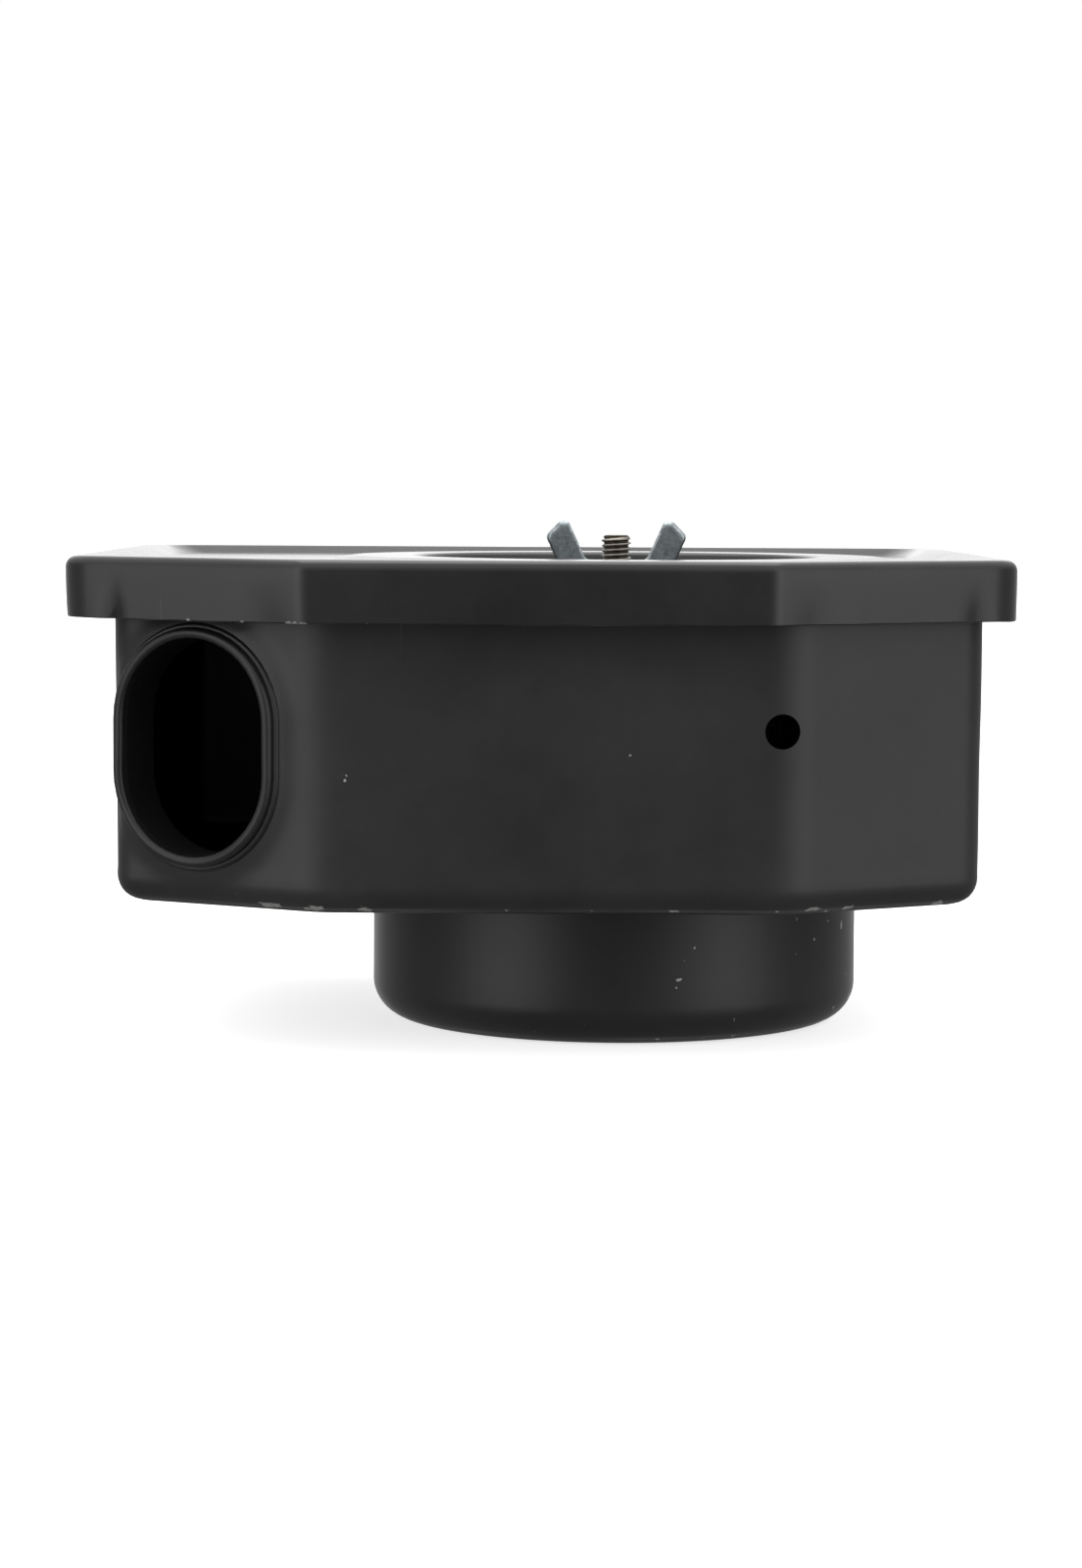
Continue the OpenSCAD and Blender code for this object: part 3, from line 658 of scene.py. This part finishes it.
def make_pan():
    corner = [(-PAN_BLEND_START - PAN_BLEND, FLOOR_Z), (-0.4 * MM, FLOOR_Z),
              (0, FLANGE_Z - SHEET), (FLANGE_W, FLANGE_Z - SHEET)]
    line = split_long(rounded(corner, np.array([5, 1.6]) * MM, 8), 1.8 * MM)
    rows = stack(sheet_loop(line, SHEET), pan_ring)
    # the sheet is drawn out a little towards the duct, and its walls are not quite flat
    from_foot = rows - DUCT_FOOT
    along, up = from_foot @ RUN, from_foot @ UP
    past = np.hypot(along, np.maximum(np.abs(up) - (DUCT_H - DUCT_W) / 2, 0)) - DUCT_W / 2
    near = (np.abs(from_foot @ DUCT_OUT) < 4 * MM) * (along < DUCT_W / 2 + 1 * MM)
    rows += (1.15 * MM * near * np.exp(-(np.maximum(past, 0) / (2.7 * MM)) ** 2))[..., None] * DUCT_OUT
    walls = (rows[..., 2] > FLOOR_Z + 6 * MM) & (rows[..., 2] < FLANGE_Z - 8 * MM)
    inward = rows[..., :2] / np.linalg.norm(rows[..., :2], axis=2, keepdims=True)
    sag = walls * 0.16 * MM * softly(2.1 * rows[..., 0], 2.3 * rows[..., 2] + rows[..., 1])
    rows[..., :2] -= inward * sag[..., None]
    pan = mesh_piece("pan_shell", rows, "housing", "black_paint", PAN_PAINT, "housing_pan")
    gap = -0.05 * MM
    cut_away(pan, cutter(duct_rows([(gap, -7 * MM), (gap, 7 * MM)])),
             cutter(rod(HOLE, (0, 1, 0), 3.2 * MM, 6 * MM)))


def make_duct():
    """Thick rolled lip and wall, a little uneven where it was formed."""
    wall = np.array([[0, 3], [0, -8], [2, -8], [2, 3]]) * MM
    section = rounded_loop(wall, np.array([0.9, 0.3, 0.3, 0.9]) * MM)
    section = split_long(np.vstack([section, section[:1]]), 1.5 * MM)[:-1]
    rows = duct_rows(section)
    from_foot = rows - DUCT_FOOT
    along, up = from_foot @ RUN, from_foot @ UP
    wobble = np.sin(310 * along + 2) * np.sin(270 * up) * 0.5 + 0.5
    lip = np.clip(from_foot @ DUCT_OUT / (3 * MM), 0, 1)
    rows -= (0.3 * MM * wobble * lip)[..., None] * DUCT_OUT
    tube = mesh_piece("inlet_tube", rows, "housing", "black_paint", DUCT_PAINT, "inlet_duct")
    # the deep inner faces of the bore get the painted shade material
    tube.data.materials.append(BORE_SHADE_PAINT)
    deep_in_shade = (section[:, 0] > 1.5 * MM) & (section[:, 1] < 1.6 * MM)
    index = np.repeat(deep_in_shade & np.roll(deep_in_shade, -1), rows.shape[1]).astype(np.int32)
    tube.data.polygons.foreach_set("material_index", index)
    bead = rounded_loop(np.array([[-0.9, 0.2], [-0.9, 1.5], [-0.0, 1.5], [-0.0, 0.2]]) * MM,
                        np.array([0.1, 0.6, 0.1, 0.05]) * MM)
    mesh_piece("inlet_seam", duct_rows(bead), "housing", "black_paint", DUCT_PAINT, "inlet_collar")


make_pan()
make_duct()


# ---------------------------------------------------------------- cup and what is inside it
BOLT_R, BOLT_CIRCLE_R = 3.3 * MM, 28 * MM
BOLT_PLACES = [BOLT_CIRCLE_R * np.array([math.cos(a), math.sin(a)]) for a in np.radians([45, 135, 225, 315])]


def lathe(name, points, radii, body, slot, material, *nodes, steps=128):
    """A turned ring from a closed (radius, height) section in millimetres, corners rounded."""
    section = rounded_loop(np.array(points) * MM, np.array(radii) * MM)
    return mesh_piece(name, revolve(section, steps), body, slot, material, *nodes)


def drill_bolts(piece, z):
    cut_away(piece, *[cutter(rod([*place, z], (0, 0, 1), BOLT_R, 12 * MM)) for place in BOLT_PLACES])


def hex_rows(apothem, bore, z0, height, centre=(0, 0)):
    """A hexagon nut: the six flats are cut at both ends by a 30-degree cone."""
    t = np.arange(96) * TURN / 96
    flats = apothem / np.cos((t + math.pi / 6) % (math.pi / 3) - math.pi / 6)
    depth = np.array([0, 0.15, 0.35, 0.6, 0.9]) * MM
    cones = apothem * 0.97 + depth * math.sqrt(3)
    levels = [(bore + 0.3 * MM, z0)] + [(c, z0 + d) for c, d in zip(cones, depth)]
    levels += [(c, z0 + height - d) for c, d in zip(cones[::-1], depth[::-1])]
    levels += [(bore + 0.3 * MM, z0 + height), (bore, z0 + height - 0.3 * MM), (bore, z0 + 0.3 * MM)]
    rows = []
    for limit, z in levels:
        r = np.minimum(flats, limit)
        rows.append(np.stack([centre[0] + r * np.cos(t), centre[1] + r * np.sin(t), np.full(96, z)], 1))
    return np.stack(rows)


def make_cup():
    line = np.array([(19, 0), (48, 0), (48, 28.8), (54, 28.8)]) * MM
    line = split_long(rounded(line, np.array([7.5, 1]) * MM, 12), 5 * MM)
    cup = mesh_piece("cup_shell", revolve(sheet_loop(line, SHEET), 192), "housing", "black_paint",
                     CUP_PAINT, "lower_cup")
    drill_bolts(cup, 0)
    plate = lathe("outlet_ring", [(36, 1.2), (36, 4.2), (19, 4.2), (19, 1.2)], [0.3, 0.6, 0.5, 0.3],
                  "housing", "black_paint", INSIDE_PAINT, "outlet_plate")
    drill_bolts(plate, 2.7 * MM)
    for i, place in enumerate(BOLT_PLACES):
        rows = hex_rows(5 * MM, 2.5 * MM, 4.2 * MM, 5 * MM, place)
        mesh_piece(f"weld_nut_{i + 1}", rows, "housing", "bare_steel", PLAIN_STEEL, "outlet_weld_nuts")


def make_bridge():
    """A strap bent down at both ends, which follow the cup's round wall."""
    reach = CUP_R - SHEET - 0.05 * MM
    top = FLOOR_Z - 8 * MM
    low = top - 11 * MM
    across = np.array([-9, -8.6, *np.linspace(-8, 8, 17), 8.6, 9]) * MM
    rows = []
    for y in across:
        trim = 0.35 * MM if abs(y) > 8.8 * MM else 0
        line = np.array([(reach - trim, low), (reach - trim, top - trim),
                         (-reach + trim, top - trim), (-reach + trim, low)])
        line = split_long(rounded(line, [3 * MM, 3 * MM], 6), 4 * MM)
        loop = sheet_loop(line, 2 * MM - 2 * trim)
        fit = math.sqrt(reach ** 2 - y ** 2) / reach
        x = np.where(np.abs(loop[:, 0]) > 20 * MM, loop[:, 0] * fit, loop[:, 0])
        rows.append(np.column_stack([x, np.full(len(loop), y), loop[:, 1]]))
    strap = mesh_piece("stud_strap", np.stack(rows), "housing", "black_paint", INSIDE_PAINT,
                       "stud_bridge", loop=False, caps=True)
    cut_away(strap, cutter(rod([0, 0, top], (0, 0, 1), 3 * MM, 12 * MM)))
    for name, z, node in (("nut_above", top, "stud_nut_upper"), ("nut_below", top - 7 * MM, "stud_nut_lower")):
        mesh_piece(name, hex_rows(5 * MM, 3 * MM, z, 5 * MM), "housing", "zinc_plate", ZINC, node)


make_cup()
make_bridge()

# ---------------------------------------------------------------- stud
CREST_R, ROOT_R = 2.94 * MM, 2.42 * MM
THREAD_COLUMNS = 48


def thread_radius(z, angle):
    """Right-hand thread of 1 mm pitch: flats at crest and root, straight flanks between."""
    phase = np.abs(((z / THREAD_PITCH - angle / TURN) % 1) - 0.5) * 2
    return ROOT_R + (CREST_R - ROOT_R) * np.clip((phase - 0.22) / 0.62, 0, 1)


def make_stud():
    """One surface from end to end: threaded at the top and bottom, plain between, with
    chamfered ends that the thread runs out on."""
    top_thread, low_thread = STUD_TOP - 32 * MM, STUD_LOW + 20 * MM
    fine = THREAD_PITCH / 14
    z = np.concatenate([
        np.arange(STUD_LOW, low_thread, fine), np.linspace(low_thread, top_thread, 12)[1:-1],
        np.arange(top_thread, STUD_TOP, fine), [STUD_TOP],
    ])
    angle = np.arange(THREAD_COLUMNS) * TURN / THREAD_COLUMNS
    threaded = thread_radius(z[:, None], angle)
    plain = np.clip(np.minimum(z - low_thread, top_thread - z) / (0.6 * MM), 0, 1)[:, None]
    r = threaded * (1 - plain) + CREST_R * plain
    end = np.minimum(STUD_TOP - z, z - STUD_LOW)[:, None]
    r = np.minimum(r, 2.05 * MM + np.sqrt(np.maximum(end, 0) * 0.8 * MM))
    rows = np.stack([r * np.cos(angle), r * np.sin(angle), z[:, None] + 0 * angle], 2)
    mesh_piece("threaded_stud", rows, "housing", "bare_steel", STUD_STEEL, "center_stud",
               loop=False, caps=True, sharp=50)


make_stud()


# ---------------------------------------------------------------- wing nut
def wing_rows(side):
    """One wing: an upright leaning outline with rounded corners, thinner at its edge."""
    corners = np.array([(1.5, 1), (6.6, 1), (11.9, 6.2), (14.05, 11.1), (11.3, 14), (9.5, 14),
                        (6.1, 6.6), (1.5, 4.8)]) * MM
    edge = rounded_loop(corners, np.array([0.3, 1.2, 2.5, 1.2, 0.8, 0.8, 1.5, 0.6]) * MM, 6)
    middle = edge.mean(0)
    rows = []
    thickness = ((-1.4, 0.86), (-1.3, 0.93), (-0.95, 0.985), (0, 1), (0.95, 0.985), (1.3, 0.93), (1.4, 0.86))
    for y, shrink in thickness:
        flat = middle + (edge - middle) * shrink
        rows.append(np.column_stack([side * flat[:, 0], np.full(len(flat), side * y * MM), flat[:, 1] + NUT_Z]))
    return np.stack(rows)


def make_wing_nut():
    """Hub and wings run into one forged body, then the bore is drilled."""
    hub = np.array([(0.5, 0), (5.2, 0), (5.45, 0.4), (5.0, 3.2), (4.4, 5.7), (4.0, 6.1), (0.5, 6.1)]) * MM
    hub = split_long(hub, 0.6 * MM) + [0, NUT_Z]
    nut = mesh_piece("wing_nut_body", revolve(hub, 64), "nut", "zinc_plate", ZINC, "wing_nut",
                     loop=False, caps=True)
    for side in (-1, 1):
        wing = cutter(wing_rows(side))
        join = nut.modifiers.new("join", "BOOLEAN")
        join.object, join.operation, join.solver = wing, "UNION", "EXACT"
    tools = [m.object for m in nut.modifiers]
    settle(nut)
    for tool in tools:
        bpy.data.objects.remove(tool)
    melt = nut.modifiers.new("melt", "REMESH")
    melt.mode, melt.voxel_size, melt.use_smooth_shade = "VOXEL", 0.22 * MM, True
    ease = nut.modifiers.new("ease", "SMOOTH")
    ease.factor, ease.iterations = 0.5, 5
    cut_away(nut, cutter(rod([0, 0, NUT_Z], (0, 0, 1), 3.05 * MM, 30 * MM, 64)))


make_wing_nut()

# ---------------------------------------------------------------- gasket and washers
gasket = rounded_loop(np.array([(-2.4, 0), (-2.4, 2), (-6.2, 2), (-6.2, 0)]) * MM + [0, FLANGE_Z],
                      [0.5 * MM] * 4)
mesh_piece("lid_gasket_ring", stack(gasket, lid_ring), "lid", "seal_rubber", RUBBER, "lid_gasket")


def washer(name, thick, z, body, slot, material, node):
    points = [(8, 0), (8, thick), (3.25, thick), (3.25, 0)]
    ring = np.array(points) * MM + [0, z]
    rows = revolve(rounded_loop(ring, np.array([0.2, 0.3, 0.2, 0.1]) * MM), 96)
    mesh_piece(name, rows, body, slot, material, node)


washer("rubber_washer", 0.8, WELL_Z, "lid", "seal_rubber", RUBBER, "lid_seal_washer")
washer("steel_washer", 0.8, WELL_Z + 0.8 * MM, "captive_washer", "zinc_plate", WASHER_ZINC, "nut_washer")

# ---------------------------------------------------------------- filter element
ELEMENT_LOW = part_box("element_bottom_seal")[1].z / MM      # underside of the bottom cap, in millimetres
ELEMENT_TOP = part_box("element_top_seal")[0].z / MM         # upper side of the top cap


def cap_rings():
    """Both end caps: flat pressed rings with their edges turned towards the paper."""
    low = [(46.5, -5), (46.5, 0), (52, 0), (52, 5), (51, 5), (51, 1), (33, 1), (33, 5), (32, 5),
           (32, 0), (45.5, 0), (45.5, -5)]
    soft = [0.2, 0.8, 1.2, 0.3, 0.3, 0.6, 0.6, 0.3, 0.3, 1.2, 0.1, 0.2]
    lathe("end_cap_low", np.array(low) + [0, ELEMENT_LOW], soft, "element", "zinc_plate", WASHER_ZINC,
          "element_bottom_cap")
    high = [(52, -5), (52, 0), (32, 0), (32, -5), (33, -5), (33, -1), (51, -1), (51, -5)]
    lathe("end_cap_high", np.array(high) + [0, ELEMENT_TOP], [0.3, 1.2, 1.2, 0.3, 0.3, 0.6, 0.6, 0.3],
          "element", "zinc_plate", WASHER_ZINC, "element_top_cap")
    low_seal = [(51.5, -2), (51.5, 0), (47.2, 0), (47.2, -2)]
    lathe("seal_low", np.array(low_seal) + [0, ELEMENT_LOW], [0.6] * 4,
          "element", "seal_rubber", RUBBER, "element_bottom_seal")
    lathe("seal_high", [(37.5, ELEMENT_TOP), (37.5, ELEMENT_TOP + 2), (32, ELEMENT_TOP + 2), (32, ELEMENT_TOP)],
          [0.6] * 4, "element", "seal_rubber", RUBBER, "element_top_seal")


def make_foam():
    """A sleeve whose faces are pulled in slightly by its open cells."""
    low, high = ELEMENT_LOW + 0.5, ELEMENT_TOP - 0.5
    section = rounded_loop(np.array([(58.7, low), (58.7, high), (52.2, high), (52.2, low)]) * MM,
                           [1.4 * MM, 1.4 * MM, 0.6 * MM, 0.6 * MM])
    section = split_long(np.vstack([section, section[:1]]), 2 * MM)[:-1]
    rows = revolve(section, 256)
    angle = np.arctan2(rows[..., 1], rows[..., 0])
    sag = 0.25 * MM * (0.5 + 0.5 * np.sin(9 * angle + 400 * rows[..., 2]) * np.sin(23 * angle))
    outer = np.hypot(rows[..., 0], rows[..., 1]) > 55 * MM
    rows[..., :2] *= (1 - outer * sag / (58.7 * MM))[..., None]
    mesh_piece("foam_wrap", rows, "element", "foam", FOAM, "foam_sleeve")


def make_paper(pleats=48, fold_points=12):
    """Pleats: the middle line swings between core and screen as a softened triangle wave,
    and the paper's two faces lie half a sheet to each side of it."""
    t = np.arange(pleats * fold_points) * TURN / (pleats * fold_points)
    wave = np.arcsin(0.985 * np.cos(pleats * t)) / np.arcsin(0.985)
    mid_r = (42.7 + 7.4 * wave) * MM
    line = mid_r[:, None] * np.stack([np.cos(t), np.sin(t)], 1)
    ahead = np.roll(line, -1, 0) - np.roll(line, 1, 0)
    side = np.stack([ahead[:, 1], -ahead[:, 0]], 1) / np.linalg.norm(ahead, axis=1, keepdims=True)
    rows = []
    low, high = (ELEMENT_LOW + 1) * MM, (ELEMENT_TOP - 1) * MM
    for offset, heights in ((0.3, np.linspace(low, high, 8)), (-0.3, np.linspace(high, low, 8))):
        for z in heights:
            rows.append(np.column_stack([line + offset * MM * side, np.full(len(t), z)]))
    mesh_piece("paper_pleats", np.stack(rows), "element", "filter_paper", PAPER, "pleated_paper", sharp=60)


def perforated(name, radius, thick, columns, levels, hole_r, node):
    """A rolled sheet of square cells, each with a round hole; odd levels are shifted by half
    a cell. Every cell joins its square edge to its hole's circle, and a solidify gives it
    its thickness inwards."""
    low, high = ELEMENT_LOW + 1, ELEMENT_TOP - 1
    half_w, half_h = math.pi * radius / columns, (high - low) / levels / 2
    t = (np.arange(32) + 0.5) * TURN / 32
    reach = 1 / np.maximum(np.abs(np.cos(t)), np.abs(np.sin(t)))
    edge = np.stack([np.cos(t) * reach * half_w, np.sin(t) * reach * half_h], 1)
    corner = np.array([[half_w, half_h], [-half_w, half_h], [-half_w, -half_h], [half_w, -half_h]])
    edge[[3, 11, 19, 27]] = corner
    hole = hole_r * np.stack([np.cos(t), np.sin(t)], 1)
    near = hole + (edge - hole) * 0.5
    cell = np.concatenate([hole, near, edge])
    level, column = np.divmod(np.arange(columns * levels), columns)
    shift = np.column_stack([(column + 0.5 * (level % 2)) * 2 * half_w, low + (2 * level + 1) * half_h])
    flat = cell[None] + shift[:, None]
    angle = flat[..., 0] / radius
    points = np.stack([radius * np.cos(angle), radius * np.sin(angle), flat[..., 1]], 2) * MM
    j = np.arange(32)
    k = (j + 1) % 32
    quads = np.concatenate([np.stack([s + j, s + 32 + j, s + 32 + k, s + k], 1) for s in (0, 32)])
    faces = (quads[None] + 96 * np.arange(len(shift))[:, None, None]).reshape(-1, 4)
    mesh = bpy.data.meshes.new(name)
    mesh.from_pydata(points.reshape(-1, 3).tolist(), [], faces.tolist())
    piece = finish_piece(name, mesh, "element", "galvanised_sheet", SPANGLE, node)
    weld = piece.modifiers.new("weld", "WELD")
    weld.merge_threshold = 0.02 * MM
    solid = piece.modifiers.new("solid", "SOLIDIFY")
    solid.thickness, solid.offset = thick * MM, -1
    settle(piece)


cap_rings()
make_foam()
make_paper()
perforated("core_tube", 34, 0.8, 14, 4, 3.5, "inner_core")
perforated("screen_tube", 50.8, 0.8, 18, 4, 4, "outer_screen")


# ---------------------------------------------------------------- floor, light and camera
def make_floor():
    """A wide pale ground that stays nearly white and takes a faint soft shadow."""
    material, tree, shader, _ = material_base("pale_ground", 0.9)
    shader.inputs["Base Color"].default_value = (0.9, 0.9, 0.9, 1)
    shader.inputs["Emission Color"].default_value = (1, 1, 1, 1)
    shader.inputs["Emission Strength"].default_value = 0.72
    shader.inputs["Specular IOR Level"].default_value = 0.0
    half, drop = 6.0, -0.0002
    corners = [(-half, -half, drop), (half, -half, drop), (half, half, drop), (-half, half, drop)]
    mesh = bpy.data.meshes.new("ground")
    mesh.from_pydata(corners, [], [(0, 1, 2, 3)])
    ground = bpy.data.objects.new("ground", mesh)
    bpy.context.scene.collection.objects.link(ground)
    mesh.materials.append(material)
    ground.visible_glossy = ground.visible_diffuse = False


def make_world():
    """White to the camera. As light it is a small studio seen from the object: dim behind
    the camera, a soft box on each front side, dim sides, a bright wall behind, a bright
    ceiling and a grey table."""
    world = bpy.data.worlds.new("studio")
    bpy.context.scene.world = world
    world.use_nodes = True
    tree = world.node_tree
    direction = tree.nodes.new("ShaderNodeTexCoord").outputs["Generated"]
    axes = new_node(tree, "SeparateXYZ", Vector=direction).outputs
    turn = math_node(tree, "ARCTAN2", axes["X"], math_node(tree, "MULTIPLY", axes["Y"], -1.0))
    turn = math_node(tree, "DIVIDE", math_node(tree, "ABSOLUTE", turn), math.pi)
    walls = tree.nodes.new("ShaderNodeFloatCurve")
    tree.links.new(turn, walls.inputs["Value"])
    curve = walls.mapping.curves[0]
    walls.mapping.use_clip = False
    steps = [
        (0, 0.12), (15, 0.16), (33, 0.47), (52, 0.88), (66, 0.73),
        (85, 0.19), (120, 0.15), (150, 0.28), (165, 0.72),
    ]
    curve.points[0].location, curve.points[1].location = (0, steps[0][1]), (1, 1.08)
    for angle, value in steps[1:]:
        curve.points.new(angle / 180, value)
    walls.mapping.update()
    level = math_node(tree, "MULTIPLY", walls.outputs[0], 1.86)
    above = ramp(tree, axes["Z"], 0.25, 0.8)
    below = ramp(tree, axes["Z"], -0.1, -0.4)
    level = blend(tree, above, level, 1.1)
    level = blend(tree, below, level, 0.22)
    seen = tree.nodes.new("ShaderNodeLightPath").outputs["Is Camera Ray"]
    level = blend(tree, seen, level, 1.0)
    background = tree.nodes["Background"]
    background.inputs["Color"].default_value = (1, 1, 1, 1)
    tree.links.new(level, background.inputs["Strength"])


def soft_light(name, place, target, size, power):
    """A square area lamp aimed at a point."""
    lamp = bpy.data.lights.new(name, "AREA")
    lamp.shape, lamp.size, lamp.energy = "SQUARE", size, power
    holder = bpy.data.objects.new(name, lamp)
    bpy.context.scene.collection.objects.link(holder)
    holder.location = place
    aim = Vector(target) - Vector(place)
    holder.rotation_euler = aim.to_track_quat("-Z", "Y").to_euler()
    holder.visible_camera = False


def make_camera():
    camera = bpy.data.objects.new("camera", bpy.data.cameras.new("camera"))
    bpy.context.scene.collection.objects.link(camera)
    camera.data.lens, camera.data.sensor_width = 85.5, 36
    camera.data.clip_start, camera.data.clip_end = 0.01, 100
    turn = Matrix.Rotation(math.radians(90 - 4.59), 4, "X") @ Matrix.Rotation(math.radians(0.3), 4, "Z")
    camera.matrix_world = Matrix.Translation((-14.7 * MM, -741 * MM, 105.4 * MM)) @ turn
    bpy.context.scene.camera = camera


make_floor()
make_world()
soft_light("over", (0.0, 0.25, 0.9), (0, 0, 0.08), 0.7, 3.0)
make_camera()
bpy.context.scene.view_settings.view_transform = "Standard"
